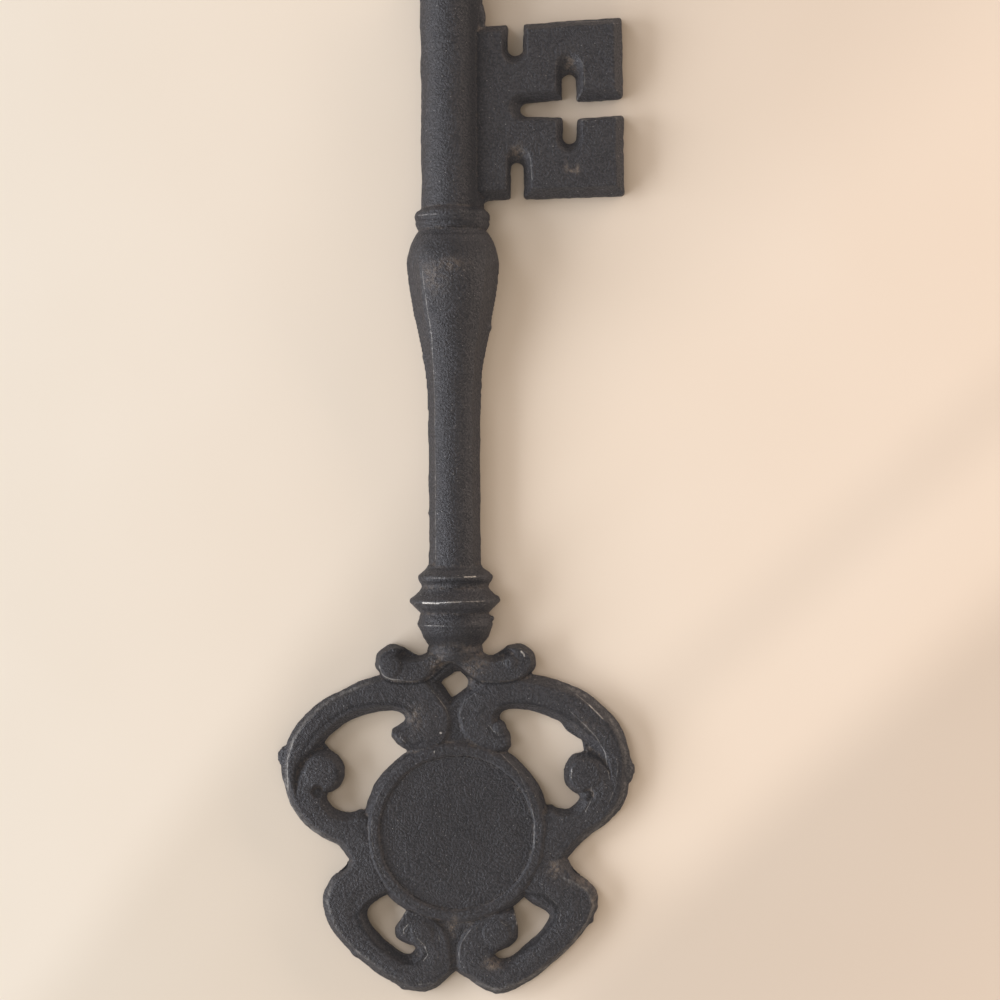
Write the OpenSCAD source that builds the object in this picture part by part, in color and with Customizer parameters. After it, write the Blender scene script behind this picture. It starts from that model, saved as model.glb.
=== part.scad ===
// A decorative skeleton key with a flat back, such as hangs on a wall.
// The shank is half round, the bit and the bow are bevelled plates, and everything lies on z = 0.
// Lengths run along Y, bit end up. The bow is drawn about the centre of its medallion.

/* [Barrel and ring] */
// Radius of the barrel
barrel_r = 11.5; // [10.5:0.1:12.4]
// Length of the barrel, from the shoulder ring to the tip
barrel_len = 90.6; // [86:0.1:110]
// Rounding of the barrel's tip
tip_round = 3.5; // [1:0.1:6]
// Radius of the shoulder ring's bead
ring_r = 14; // [13:0.1:16]
// Length of the shoulder ring
ring_len = 7.8; // [6:0.1:12]

/* [Baluster] */
// Radius of the bulb
bulb_r = 17.1; // [14:0.1:20]
// Radius of the neck above the bulb
neck_r = 12.4; // [11.6:0.1:12.6]
// Radius of the slim stem
stem_r = 9.8; // [9:0.1:10.8]
// Length of the straight stem
stem_len = 50; // [30:0.5:80]
// Length over which the stem swells to the bulb
swell_len = 59.9; // [40:0.5:80]
// Length from the bulb to the neck
shoulder_len = 13.6; // [9:0.1:20]

/* [Collars] */
// Radius of the upper bead
upper_bead_r = 13.8; // [12.8:0.1:16]
// Length of the upper bead
upper_bead_len = 8.2; // [6:0.1:12]
// Radius of the sharp middle bead
middle_bead_r = 16.8; // [14.5:0.1:20]
// Length of the middle bead
middle_bead_len = 9.4; // [7:0.1:14]
// Radius of the waists between the beads
waist_r = 12.2; // [11:0.1:12.6]
// Radius of the cup's rim
cup_r = 13.9; // [13:0.1:16]
// Length of the cup
cup_len = 12; // [9:0.1:16]
// Radius of the cup's foot, where the bow begins
foot_r = 9.8; // [9:0.1:11]

/* [Bit] */
// Reach of the bit from the key's axis
bit_reach = 63.2; // [56:0.1:72]
// Height of the bit at its root
bit_h = 64.1; // [60:0.1:70]
// Thickness of the bit
bit_t = 7; // [6:0.1:9]
// Height of the bit's upright edge, below its bevel
bit_edge = 2.6; // [1.5:0.1:4]
// Width of the bit's bevel
bit_bevel = 3; // [1.5:0.1:4]
// Distance of the bit from the shoulder ring
bit_rise = 3.3; // [3:0.1:8]
// Distance of the two notches from the key's axis
notch_x = 24; // [22:0.1:28]
// Width of the upper notch
upper_notch_w = 5.7; // [4:0.1:8]
// Depth of the upper notch
upper_notch = 11.8; // [8:0.1:16]
// Width of the lower notch
lower_notch_w = 4.6; // [3:0.1:7]
// Depth of the lower notch
lower_notch = 13.7; // [8:0.1:18]
// Width of the slot between the wards, at its inner end
slot_w = 5.4; // [4:0.1:7]
// Widening of that slot towards the cross cut
slot_flare = 1.3; // [0:0.1:2]
// Width of the slot's mouth, outside the cross cut
mouth_w = 6.5; // [5:0.1:8]
// Step down of the mouth's lower side at the cross cut
mouth_step = 0.8; // [0:0.1:1.5]
// Rounding of the bit's corners
corner_r = 1.4; // [0.4:0.1:2]
// Height of the slot over the bit's lower edge
slot_rise = 30.3; // [28:0.1:34]
// Distance of the cross cut from the key's axis
cross_x = 43.5; // [38:0.1:48]
// Width of the cross cut
cross_w = 5.2; // [4:0.1:7]
// Reach of the cross cut below the slot's middle
cross_down = 12.6; // [8:0.1:16]
// Reach of the cross cut above the slot's middle
cross_up = 13.4; // [8:0.1:16]

/* [Bow] */
// Width of the bow over its scrolls
bow_w = 128.6; // [120:0.5:140]
// Thickness of the scrolls
scroll_t = 5.8; // [5:0.1:8]
// Height of the scrolls' upright edge, below their bevel
scroll_edge = 2.4; // [2.2:0.1:3.5]
// Width of the scrolls' bevel
scroll_bevel = 2.6; // [1.5:0.1:3.5]
// Width of the casting gates' stubs on the bow's sides
stub_w = 7.2; // [4:0.1:9]
// Thickness of the crest
crest_t = 7.2; // [6:0.1:9]
// Width of the crest's bevel
crest_bevel = 2; // [1:0.1:3]
// Rise of the round knobs over the scrolls
knob_rise = 0.6; // [0.2:0.1:2]
// Thickness of the thin web left beside the knobs
web_t = 1.6; // [1:0.1:2]
// Thickness of the webs that fill the middle between the scrolls' heads
middle_web_t = 4.9; // [3:0.1:5]

/* [Medallion] */
// Radius of the medallion at its foot
medal_r = 34.6; // [33:0.1:37]
// Thickness of the disc
medal_t = 5.8; // [5:0.1:6.4]
// Height of the disc's upright edge, below its bevel
disc_edge = 2.4; // [2.3:0.1:3.5]
// Height of the rim over the disc
rim_h = 0.9; // [0.5:0.1:2]
// Depth of the step in the disc that the rim sits in
rim_step = 1.8; // [1.4:0.1:2.4]
// Width of the rim at its foot
rim_w = 5.6; // [5:0.1:7]

/* [Joints] */
// Radius of the spigots at the baluster's ends
spigot_r = 3; // [2:0.1:3.2]
// Height of the spigots' axis over the back
spigot_z = 4.6; // [4.4:0.1:5]
// Length of the spigot in the barrel
spigot_len = 16; // [12:0.5:24]
// Width of the tongues that join the bow
tongue_w = 8; // [6:0.1:9]
// Thickness of those tongues
tongue_t = 2; // [1.2:0.1:2.1]
// Radius of the rivets and pins
rivet_r = 1.2; // [0.8:0.1:1.5]
// Clearance of what fits in or round something else
fit_gap = 0.1; // [0.05:0.01:0.2]
// Radius of the blind nail hole in the back
nail_r = 3; // [2:0.1:4]
// Depth of the nail hole
nail_depth = 8; // [5:0.1:8.5]

/* [Hidden] */
$fn = 96;
// Smooth steps between two points of a scroll's edge
curve_steps = 3;
// Longer than anything that a cutter has to pass through
far = 200;
// The bow is drawn 128.6 wide, and grows with bow_w
bow_k = bow_w / 128.6;

// Places along the axis, upwards from the centre of the medallion
foot_y = 68.5 * bow_k;
cup_y = foot_y + cup_len;
middle_y = cup_y + middle_bead_len;
stem_y = middle_y + upper_bead_len;
swell_y = stem_y + stem_len;
bulb_y = swell_y + swell_len;
neck_y = bulb_y + shoulder_len;
barrel_y = neck_y + ring_len;
tip_y = barrel_y + barrel_len;
bit_y = barrel_y + bit_rise;
crest_bore_y = foot_y - 5.3;
slot_y = bit_y + slot_rise + slot_w / 2;
upper_notch_x = notch_x - 0.3;

// Upper scrolls from the hook over the top and down to the side notch: outer edge x, y, then inner
// edge x, y
left_hook = [
    [23.7, 35, 23.4, 37.6], [20.5, 31, 21, 39.2], [15, 29, 19.3, 40.6], [8, 29.6, 18.9, 41.3],
    [2.4, 32.6, 18.8, 41.7], [0.4, 38.5, 18.9, 42], [1.2, 44.3, 19.2, 42.6], [3.6, 49.3, 20, 43.4],
    [7.6, 54.6, 22, 44.2], [14, 60, 25, 44.5], [29.5, 57.5, 31, 44], [41, 52.7, 39, 41.3],
    [52.3, 46.4, 46.5, 35.8], [60.6, 37.1, 51.5, 29.5], [64.1, 27, 56.3, 24.5], [63.9, 19.5, 57.3, 17.5],
    [61.4, 10.6, 55, 11.5], [55.5, 2.5, 49.5, 6], [49, -2.3, 45, 2.5], [43.4, -5.2, 39, 0],
    [40.2, -10.3, 33, -4], [37, -17, 27, -9]
];
right_hook = [
    [20.2, 31.5, 19.6, 36], [17.5, 28, 17.6, 39], [12, 27, 16.6, 40.5], [5, 30.5, 16.3, 41.2],
    [0.4, 35.5, 16.2, 41.8], [-1, 40, 16.3, 42.2], [-1.5, 44.6, 16.6, 42.8], [0.9, 49.4, 17.2, 43.6],
    [4.9, 53, 18.6, 44.3], [9, 57, 20.8, 44.7], [14, 60, 23.3, 44.8], [28.5, 57.6, 29, 43.8],
    [41, 54.2, 35.5, 41.4], [52, 47.9, 44, 36], [60, 39.2, 50.5, 29.8], [64, 29, 53.3, 25],
    [64, 19, 54, 18], [61.8, 9.8, 53, 12], [56.5, 3.7, 49.5, 6.5], [50, -1.2, 45, 2.5],
    [44, -6.8, 39, -1], [40.6, -10.4, 33, -5], [37, -17, 27, -10]
];
// Side leaves from the side notch up to the knob
left_leaf = [
    [36.4, -17, 22, 3], [39.3, -10, 33, 7.8], [42.9, -4.7, 39.1, 6.8], [48.6, -1.7, 44.5, 8],
    [55, 3, 47.8, 11.8], [60.8, 10.9, 47.5, 14.8], [60.3, 18, 49, 17], [58.6, 23.5, 48.5, 20],
    [55.2, 28, 48, 22], [50.5, 30.2, 47.5, 23]
];
right_leaf = [
    [36.5, -17, 22, 3], [39.6, -10.8, 33.5, 9.5], [43.5, -6.3, 37, 8], [49.5, -0.7, 41.5, 7.6],
    [56, 4.2, 44.8, 10.2], [61.2, 10.2, 46.5, 14.5], [60, 17.5, 48, 17.5], [57.6, 23.5, 46.5, 20],
    [53.4, 27.6, 46, 22], [48.5, 29.4, 45.5, 23]
];
// Lower lobes from the side notch round to the curl at the bottom
left_lobe = [
    [36, -2, 15, -17], [40.2, -10.3, 26, -23.2], [46.4, -17.2, 29.2, -24.8], [49.6, -23.6, 32, -27.3],
    [48.8, -30, 33.2, -30.8], [43.6, -39.8, 30.8, -36], [34, -48.9, 26, -41.2], [24, -55.6, 20.8, -45.2],
    [14.8, -59.2, 17.6, -45.8], [8.2, -57.9, 16.2, -44.8], [3.6, -54.4, 15.6, -43.6],
    [0.4, -50.8, 15.7, -42.6], [0.9, -42, 16.5, -42], [3.4, -34, 19, -41.2], [10, -28.6, 22.5, -39],
    [17, -27, 23, -35.5]
];
right_lobe = [
    [36, -2, 15, -17], [40.6, -10.4, 25, -24.6], [46, -16.7, 29.2, -27.8], [51.6, -22.5, 33.2, -30.4],
    [51, -30, 33.6, -32.8], [45.5, -38.5, 30.3, -37.8], [36.5, -47.8, 25, -42.6], [26, -55.8, 20, -46.3],
    [14, -60.2, 16, -47.3], [4, -54.8, 13.8, -46], [-0.9, -51.4, 14.2, -45], [-2, -45.5, 15.5, -44.4],
    [-0.7, -39, 17.2, -43.6], [4, -33, 19.2, -42.6], [12, -28.2, 22, -40], [20.5, -27.8, 22.3, -36]
];
// Volutes of the crest from the middle out to the eye. Over the diamond their lower edges form a peak
left_volute = [
    [1.3, 62.5, 1.3, 67.6], [4.4, 61.2, 5.4, 67.8], [7.5, 58.7, 8.6, 67], [10.2, 55.9, 10.8, 65.6],
    [15.4, 54.4, 13.4, 64.8], [20.5, 54.6, 15.8, 64.8], [24.5, 55.4, 17.6, 64.9], [29.4, 60, 19.3, 64.5],
    [29, 65.5, 20, 64.7], [24, 69.1, 19.8, 65.4], [18.7, 67.9, 19, 66.4]
];
right_volute = [
    [-2.1, 62.3, -2.1, 67.6], [0.8, 60, 2.5, 67.8], [3.7, 57.3, 6, 67.5], [7.4, 54.8, 9.5, 66.4],
    [12.5, 54.2, 12, 65], [18.5, 54.4, 15, 64.8], [24.5, 55.4, 17.6, 64.9], [29.4, 60, 19.3, 64.5],
    [29, 65.5, 20, 64.7], [24, 69.1, 19.8, 65.4], [18.7, 67.9, 19, 66.4]
];
// The diamond under the crest: its hole, right side positive
diamond = [[-5.5, 54.8], [-1.5, 49.2], [4.1, 52.9], [4.5, 55.5], [1.9, 58.5], [-0.4, 58.7]];
diamond_middle = [-0.4, 54];
// Knobs and eyes: x, y, radius
left_knob = [49.4, 22.3, 8.2];
right_knob = [47.2, 20.9, 7.8];
left_lobe_knob = [13, -37, 5.5];
right_lobe_knob = [14.4, -36.8, 6.4];
left_eye = [23.7, 61.3, 5.2];
right_eye = [20.6, 62.2, 3.7];
left_curl = [19.4, 34.2, 2.7];
right_curl = [15.5, 38.2, 3];
// Stubs of the casting gates on the outer edges: x, y
left_stub = [65.8, 28];
right_stub = [65.8, 22.5];
// Throats of the curls, as pits: x, y
left_throat = [50.7, 15.4];
right_throat = [48.6, 13.4];
lobe_throat = [15.4, -44.5];
// Low fill between the volute's curl and its arm
volute_fill = [[18.9, 67.9], [16.2, 66], [13.6, 64.7], [15, 62], [21, 65]];
// Thin webs between knob and scroll
left_web = [[49, 33], [45.5, 29], [48, 22], [58, 20], [57, 27]];
right_web = [
    [38.5, 39.8], [41.2, 36.3], [46.4, 33.5], [47.2, 29.3], [44, 27], [47, 21], [57, 20], [57, 25], [50, 33]
];
// Webs that fill the middle between the heads above the medallion and the lobes below it
head_web = [[-4, 28], [12, 28], [12, 55], [4, 63], [-4, 63]];
lobe_web = [[-3, -28], [9, -28], [9, -45], [2, -50], [-3, -50]];
// Where the left pieces meet the right ones, above and below the medallion, right side positive
upper_parting = -1.3;
lower_parting = -0.8;
// Angle of the parting between the side leaf and the lower lobe, from +X
notch_angle = -14.4;
// Angles of the tongues under the medallion, from +X
upper_tongues = [66, -1];
lower_tongues = [-29, -77];
// Place of the tongues under the crest
crest_tongue_x = 15 * bow_k;
crest_tongue_y = 58 * bow_k;

// A smooth curve through rows of numbers
function between(a, b, c, d, t) =
    (2 * b + (c - a) * t + (2 * a - 5 * b + 4 * c - d) * t * t + (3 * b - a - 3 * c + d) * t * t * t) / 2;
function smooth(rows, steps) = [
    for (i = [0 : len(rows) - 2], j = [0 : steps - 1])
        between(rows[max(i - 1, 0)], rows[i], rows[i + 1], rows[min(i + 2, len(rows) - 1)], j / steps),
    rows[len(rows) - 1]
];

// The two edges of a scroll, at the bow's size
function rails(rows) = smooth(bow_k * rows, curve_steps);

// The key's lowest and highest places are level with each other about the origin
low_y = min([for (row = concat(rails(left_lobe), rails(right_lobe))) row[1]]);
middle_of_key = (tip_y + low_y) / 2;

// One cross-section of a scroll: a flat back, upright edges, a bevel on each side and a slight crown
function section(row, top, bevel) =
    let (
        outer = [row[0], row[1]],
        inner = [row[2], row[3]],
        width = norm(inner - outer),
        inset = min(bevel, 0.42 * width),
        face = scroll_edge + (top - scroll_edge) * inset / bevel,
        outer_face = outer + (inner - outer) * inset / width,
        inner_face = inner - (inner - outer) * inset / width,
        middle = (outer + inner) / 2
    )
    [
        [outer.x, outer.y, 0], [outer.x, outer.y, scroll_edge], [outer_face.x, outer_face.y, face],
        [middle.x, middle.y, face + 0.02 * width],
        [inner_face.x, inner_face.y, face], [inner.x, inner.y, scroll_edge], [inner.x, inner.y, 0]
    ];

// Above 0 where a scroll's outer edge lies to the right as it is drawn
function turn(rows) =
    let (a = rows[1], b = rows[2], x = b[0] + b[2] - a[0] - a[2], y = b[1] + b[3] - a[1] - a[3])
    x * (a[3] - a[1]) - y * (a[2] - a[0]);
function reversed(list) = [for (i = [len(list) - 1 : -1 : 0]) list[i]];

// Rings of points joined into a closed solid, with every face a triangle
module skin(rings) {
    n = len(rings[0]);
    last = (len(rings) - 1) * n;
    polyhedron(
        points = [for (ring = rings) each ring],
        faces = [
            for (i = [0 : len(rings) - 2], j = [0 : n - 1])
                let (a = i * n + j, b = i * n + (j + 1) % n)
                each [[a, a + n, b + n], [a, b + n, b]],
            for (j = [1 : n - 2]) [0, j, j + 1],
            for (j = [1 : n - 2]) [last, last + j + 1, last + j]
        ]
    );
}

module scroll(rows, top = scroll_t, bevel = scroll_bevel) {
    rings = [for (row = rails(rows)) section(row, top, bevel)];
    skin(turn(rows) > 0 ? [for (ring = rings) reversed(ring)] : rings);
}

// Two loops of points, one over the other: upright to the edge, a slope up to the top, then upright
module sloped(lower, upper, from, edge, top, to) {
    skin([
        [for (p = lower) [p.x, p.y, from]],
        [for (p = lower) [p.x, p.y, edge]],
        [for (p = upper) [p.x, p.y, top]],
        [for (p = upper) [p.x, p.y, to]]
    ]);
}

// Half a turned piece, flat side down, from a profile of radius and place along the axis
module half_turned(profile) {
    rotate([90, 0, 180])
        rotate_extrude(angle = 180)
            polygon(profile);
}

// A round bar or bore along the axis
module along(r, from, to, z = spigot_z) {
    translate([0, from, z])
        rotate([-90, 0, 0])
            cylinder(r = r, h = to - from);
}

// A round bar or bore square to the back
module upright(r, x, y, from, to) {
    translate([x, y, from])
        cylinder(r = r, h = to - from);
}

// Every piece is drawn from the medallion's centre and set about the middle of the key
module placed() {
    translate([0, -middle_of_key, 0])
        children();
}

// Barrel

bit_tongue_x = barrel_r - 5;
bit_tongue_low = bit_y + 8;
bit_tongue_high = bit_y + bit_h - 8;
bit_tongue_from = 1.6;
bit_tongue_to = 5;
bit_rivet_x = barrel_r - 3;
bit_rivets_y = [bit_tongue_low + 10, bit_tongue_high - 10];
nail_y = tip_y - 14;
barrel_pin_y = barrel_y + spigot_len - 7;
crest_pin_y = foot_y - 2.5;
pin_top = spigot_z + spigot_r + 0.8;

module bit_tongue(gap) {
    translate([bit_tongue_x - gap, bit_tongue_low - gap, bit_tongue_from - gap])
        cube([far, bit_tongue_high - bit_tongue_low + 2 * gap, bit_tongue_to - bit_tongue_from + 2 * gap]);
}

module barrel() {
    color("dimgray")
        placed()
            difference() {
                half_turned([
                    [0, barrel_y], [barrel_r, barrel_y],
                    for (a = [0 : 15 : 90])
                        [barrel_r - tip_round * (1 - cos(a)), tip_y - tip_round * (1 - sin(a))],
                    [0, tip_y]
                ]);
                along(spigot_r + fit_gap, barrel_y - 1, barrel_y + spigot_len + 0.5);
                bit_tongue(fit_gap);
                for (y = bit_rivets_y)
                    upright(rivet_r + fit_gap / 2, bit_rivet_x, y, -1, bit_tongue_to + 1);
                upright(rivet_r + fit_gap / 2, 0, barrel_pin_y, -1, pin_top);
                upright(nail_r, 0, nail_y, -1, nail_depth);
            }
}

// Bit

// The bit's lower and upper edges rise a little towards its outer end, which leans back to its top
lower_slope = 0.026;
upper_slope = 0.055;
end_lean = 0.45;
function bit_low(x) = bit_y + lower_slope * (x - barrel_r - 2);
function bit_high(x) = bit_y + bit_h + upper_slope * (x - barrel_r - 2);
function bit_end(y) = bit_reach + end_lean * (1 - 2 * (y - bit_y) / bit_h);

// A slot along Y with two round ends, as a loop of points
function slot_loop(x, low, high, w) = [
    for (a = [180 : 20 : 360]) [x + w / 2 * cos(a), low + w / 2 * (1 + sin(a))],
    for (a = [0 : 20 : 180]) [x + w / 2 * cos(a), high - w / 2 * (1 - sin(a))]
];

// The slot between the wards: a round inner end, a flare up to the cross cut and a mouth that
// lies a step lower and runs parallel to the bit's upper edge
function ward_loop(x, y, w, flare, spread) =
    let (
        low = y - w / 2,
        mouth_low = y - slot_w / 2 - mouth_step - spread[0],
        mouth_high = y - slot_w / 2 - mouth_step + mouth_w + spread[1],
        rise = upper_slope * (far - cross_x)
    )
    [
        for (a = [90 : 20 : 270]) [x + w / 2 * (1 + cos(a)), y + w / 2 * sin(a)],
        [cross_x, low], [cross_x, mouth_low], [far, mouth_low + rise],
        [far, mouth_high + rise], [cross_x, mouth_high], [cross_x, low + w + flare]
    ];

module bit_cut(lower, upper) {
    sloped(lower, upper, -1, bit_edge, bit_t, bit_t + 1);
}

// The fillet where the root meets the barrel: side is 1 above the root and -1 below it
module root_fillet(y, side, r) {
    translate([barrel_r + 2, y, 0])
        linear_extrude(height = bit_edge + 1)
            difference() {
                translate([-r, side > 0 ? -0.5 : -r])
                    square([r, r + 0.5]);
                translate([0, side * r])
                    circle(r);
            }
}

// What is left outside a rounded corner of the bit: the metal lies towards right and up, 1 or -1
module corner_cut(x, y, right, up) {
    translate([x, y, -1])
        linear_extrude(height = bit_t + 2)
            difference() {
                polygon([
                    [-0.5 * right, -0.5 * up], [corner_r * right, -0.5 * up],
                    [corner_r * right, corner_r * up], [-0.5 * right, corner_r * up]
                ]);
                translate([corner_r * right, corner_r * up])
                    circle(corner_r);
            }
}

// All corners: the ends of the two blocks, the mouths of the notches and the cross cut
module bit_corners() {
    mouth_low = slot_y - slot_w / 2 - mouth_step;
    mouth_end = mouth_low + upper_slope * (bit_reach - cross_x);
    corner_cut(bit_end(bit_y), bit_low(bit_reach), -1, 1);
    corner_cut(bit_end(bit_y + bit_h), bit_high(bit_reach), -1, -1);
    corner_cut(bit_end(mouth_end), mouth_end, -1, -1);
    corner_cut(bit_end(mouth_end + mouth_w), mouth_end + mouth_w, -1, 1);
    for (side = [-1, 1]) {
        corner_cut(upper_notch_x + side * upper_notch_w / 2, bit_high(upper_notch_x), side, -1);
        corner_cut(notch_x + side * lower_notch_w / 2, bit_low(notch_x), side, 1);
    }
    corner_cut(cross_x + cross_w / 2, mouth_low, 1, -1);
    corner_cut(cross_x + cross_w / 2, mouth_low + mouth_w, 1, 1);
    corner_cut(cross_x - cross_w / 2, slot_y - slot_w / 2, -1, -1);
}

module bit() {
    end = bit_reach;
    foot = bit_end(bit_y);
    head = bit_end(bit_y + bit_h);
    start = bit_tongue_x;
    upper_notch_y = bit_high(notch_x) - upper_notch;
    lower_notch_y = bit_low(notch_x) + lower_notch;
    color("dimgray")
        placed()
            difference() {
                union() {
                    difference() {
                        union() {
                            sloped(
                                [
                                    [start, bit_low(start)], [foot, bit_low(end)],
                                    [head, bit_high(end)], [start, bit_high(start)]
                                ],
                                [
                                    [start, bit_low(start) + bit_bevel],
                                    [foot - bit_bevel, bit_low(end) + bit_bevel],
                                    [head - bit_bevel, bit_high(end) - bit_bevel],
                                    [start, bit_high(start) - bit_bevel]
                                ],
                                0, bit_edge, bit_t - 0.3, bit_t
                            );
                            root_fillet(bit_low(barrel_r), -1, 2.8);
                            root_fillet(bit_high(barrel_r), 1, 4.2);
                        }
                        along(barrel_r + fit_gap / 2, 0, 2 * far, 0);
                    }
                    intersection() {
                        bit_tongue(0);
                        along(barrel_r + 1, 0, 2 * far, 0);
                    }
                }
                bit_cut(
                    slot_loop(upper_notch_x, upper_notch_y, far * 2, upper_notch_w),
                    slot_loop(upper_notch_x - 0.4, upper_notch_y - 4, far * 2, upper_notch_w + 3.4)
                );
                bit_cut(
                    slot_loop(notch_x, 0, lower_notch_y, lower_notch_w),
                    slot_loop(notch_x + 0.5, 0, lower_notch_y + 5, lower_notch_w + 4.8)
                );
                bit_cut(
                    slot_loop(cross_x, slot_y - cross_down, slot_y + cross_up, cross_w),
                    slot_loop(cross_x - 0.4, slot_y - cross_down - 3.8, slot_y + cross_up + 7, cross_w + 4.4)
                );
                bit_cut(
                    ward_loop(notch_x + 1.2, slot_y, slot_w, slot_flare, [0, 0]),
                    ward_loop(notch_x - 3, slot_y + 0.4, slot_w + 5, slot_flare, [1.9, 2.9])
                );
                bit_corners();
                for (y = bit_rivets_y)
                    upright(rivet_r + fit_gap / 2, bit_rivet_x, y, -1, bit_tongue_to + 1);
            }
}

module bit_rivets() {
    color("gray")
        placed()
            for (y = bit_rivets_y)
                upright(rivet_r, bit_rivet_x, y, 0.2, bit_tongue_to + 0.9);
}

module shank_pins() {
    color("gray")
        placed() {
            upright(rivet_r, 0, barrel_pin_y, 0.2, pin_top - 0.1);
            upright(rivet_r, 0, crest_pin_y, 0.2, pin_top - 0.1);
        }
}

// Shank

module shoulder_ring() {
    l = ring_len / 10;
    color("dimgray")
        placed()
            difference() {
                half_turned([
                    [0, neck_y], [neck_r, neck_y], [ring_r - 1.1, neck_y + 0.7 * l],
                    [ring_r - 0.5, neck_y + 2.2 * l], [ring_r - 0.2, neck_y + 3.3 * l],
                    [ring_r - 0.5, neck_y + 4.1 * l],
                    for (a = [-40 : 20 : 80])
                        [ring_r - 1.9 * (1 - cos(a)), neck_y + (6.3 + 2.9 * sin(a)) * l],
                    [barrel_r + 0.3, barrel_y], [0, barrel_y]
                ]);
                along(spigot_r + fit_gap, 0, far * 2);
            }
}

function ease(t) = t * t * (3 - 2 * t);

module baluster() {
    color("dimgray")
        placed()
            difference() {
                union() {
                    half_turned([
                        [0, stem_y], [stem_r, stem_y],
                        for (t = [0 : 1 / 16 : 1])
                            [stem_r + (bulb_r - stem_r) * ease(pow(t, 1.42)), swell_y + swell_len * t],
                        for (t = [1 / 8 : 1 / 8 : 1])
                            [bulb_r - (bulb_r - neck_r) * t * t, bulb_y + shoulder_len * t],
                        [0, neck_y]
                    ]);
                    along(spigot_r, crest_bore_y + 0.5, stem_y + 1);
                    along(spigot_r, neck_y - 1, barrel_y + spigot_len);
                }
                upright(rivet_r + fit_gap / 2, 0, barrel_pin_y, -1, pin_top);
                upright(rivet_r + fit_gap / 2, 0, crest_pin_y, -1, pin_top);
            }
}

// The turned collars between stem and bow, each with the spigot's bore
module collar(profile, y, length) {
    color("dimgray")
        placed()
            difference() {
                half_turned([[0, y], for (p = profile) [p[0], y + p[1] * length], [0, y + length]]);
                along(spigot_r + fit_gap, 0, far * 2);
            }
}

module upper_bead() {
    r = upper_bead_r;
    collar(
        [
            [waist_r, 0], [waist_r + 0.2, 0.18], [r - 0.3, 0.32],
            for (a = [-40 : 20 : 60]) [r - 0.8 * (1 - cos(a)), 0.46 + 0.12 * sin(a)],
            for (t = [0.25 : 0.25 : 1]) [r - 0.5 - (r - 0.5 - stem_r) * (1 - pow(1 - t, 1.7)), 0.6 + 0.4 * t]
        ],
        middle_y, upper_bead_len
    );
}

module middle_bead() {
    r = middle_bead_r;
    collar(
        [
            [waist_r + 0.4, 0], [waist_r + 1.4, 0.12], [r - 1.6, 0.27],
            for (a = [-50 : 25 : 50]) [r - 0.9 * (1 - cos(a)), 0.48 + 0.1 * sin(a)],
            [r - 1.8, 0.68], [waist_r + 0.9, 0.85], [waist_r, 1]
        ],
        cup_y, middle_bead_len
    );
}

module lower_cup() {
    r = cup_r;
    collar(
        [
            [foot_r, 0], [foot_r + 0.9, 0.1], [foot_r + 2.3, 0.27], [r - 1, 0.42], [r - 0.3, 0.56],
            for (a = [-40 : 20 : 40]) [r - 0.4 * (1 - cos(a)), 0.65 + 0.05 * sin(a)],
            [r - 0.5, 0.76], [waist_r + 0.9, 0.9], [waist_r + 0.4, 1]
        ],
        foot_y, cup_len
    );
}

// Bow

// A round button on a scroll, with a bevelled edge and a slightly domed face
module button(place, foot, top, bevel) {
    r = place[2] * bow_k;
    translate([place[0] * bow_k, place[1] * bow_k, 0])
        rotate_extrude()
            polygon([
                [0, foot], [r, foot], [r, max(foot, scroll_edge)],
                [r - bevel, top - 0.4], [r - bevel - 0.7, top], [0, top + 0.3]
            ]);
}

// The shallow pit in the throat of a curl
module throat(place, r) {
    translate([place[0] * bow_k, place[1] * bow_k, throat_floor])
        cylinder(r1 = 0.8, r2 = r + 1, h = scroll_t - throat_floor + 1.5);
}

module web(points, height) {
    linear_extrude(height = height)
        polygon(bow_k * points);
}

// The stub of a casting gate on the scroll's outer edge
module gate_stub(place) {
    root = stub_w / 2;
    end = stub_w / 5;
    translate([place[0] * bow_k, place[1] * bow_k, 0])
        linear_extrude(height = scroll_edge - 0.2)
            polygon([[-stub_w / 2.4, root], [0, end], [0, -end], [-stub_w / 2.4, -root]]);
}

// Height of the pits' floor over the back
throat_floor = 2.8;

// The rim's foot and its inner and outer edges. Rivets stand under its middle, and bite into it
rim_out = medal_r - 0.8;
rim_in = rim_out - rim_w;
rim_edge = rim_out - 1.8;
rim_seat = medal_t - rim_step;
rim_top = medal_t + rim_h;
rim_round = 0.25;
rivet_circle = (rim_in + rim_out) / 2;
rivet_bite = 1.6;

module medal_tongue(angle, gap) {
    from = rivet_circle - 3.4 - gap;
    rotate([0, 0, angle])
        translate([from, -tongue_w / 2 - gap, -gap])
            cube([medal_r + 2 - from, tongue_w + 2 * gap, tongue_t + 2 * gap]);
}

module medal_hole(angle, from, to, r) {
    rotate([0, 0, angle])
        upright(r, rivet_circle, 0, from, to);
}

module crest_tongue(gap) {
    translate([crest_tongue_x - tongue_w / 2 - gap, 50 * bow_k, -gap])
        cube([tongue_w + 2 * gap, crest_tongue_y + 3.4 + gap - 50 * bow_k, tongue_t + 2 * gap]);
}

module crest_hole(from, to, r) {
    upright(r, crest_tongue_x, crest_tongue_y, from, to);
}

// The medallion's outside with a clearance round it, open upwards: the scrolls end on its bevels
module medallion_seat() {
    rotate_extrude()
        polygon([
            [0, -1], [medal_r + fit_gap, -1], [medal_r + fit_gap, disc_edge], [rim_out + fit_gap, rim_seat],
            [rim_edge + fit_gap, rim_top - rim_round], [rim_edge + fit_gap, far], [0, far]
        ]);
}

// The diamond's hole, with sloping sides
module diamond_cut() {
    middle = bow_k * diamond_middle;
    hole = bow_k * diamond;
    mouth = [for (p = hole) middle + 1.6 * (p - middle)];
    sloped(hole, mouth, -1, web_t, middle_web_t, far);
}

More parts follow.
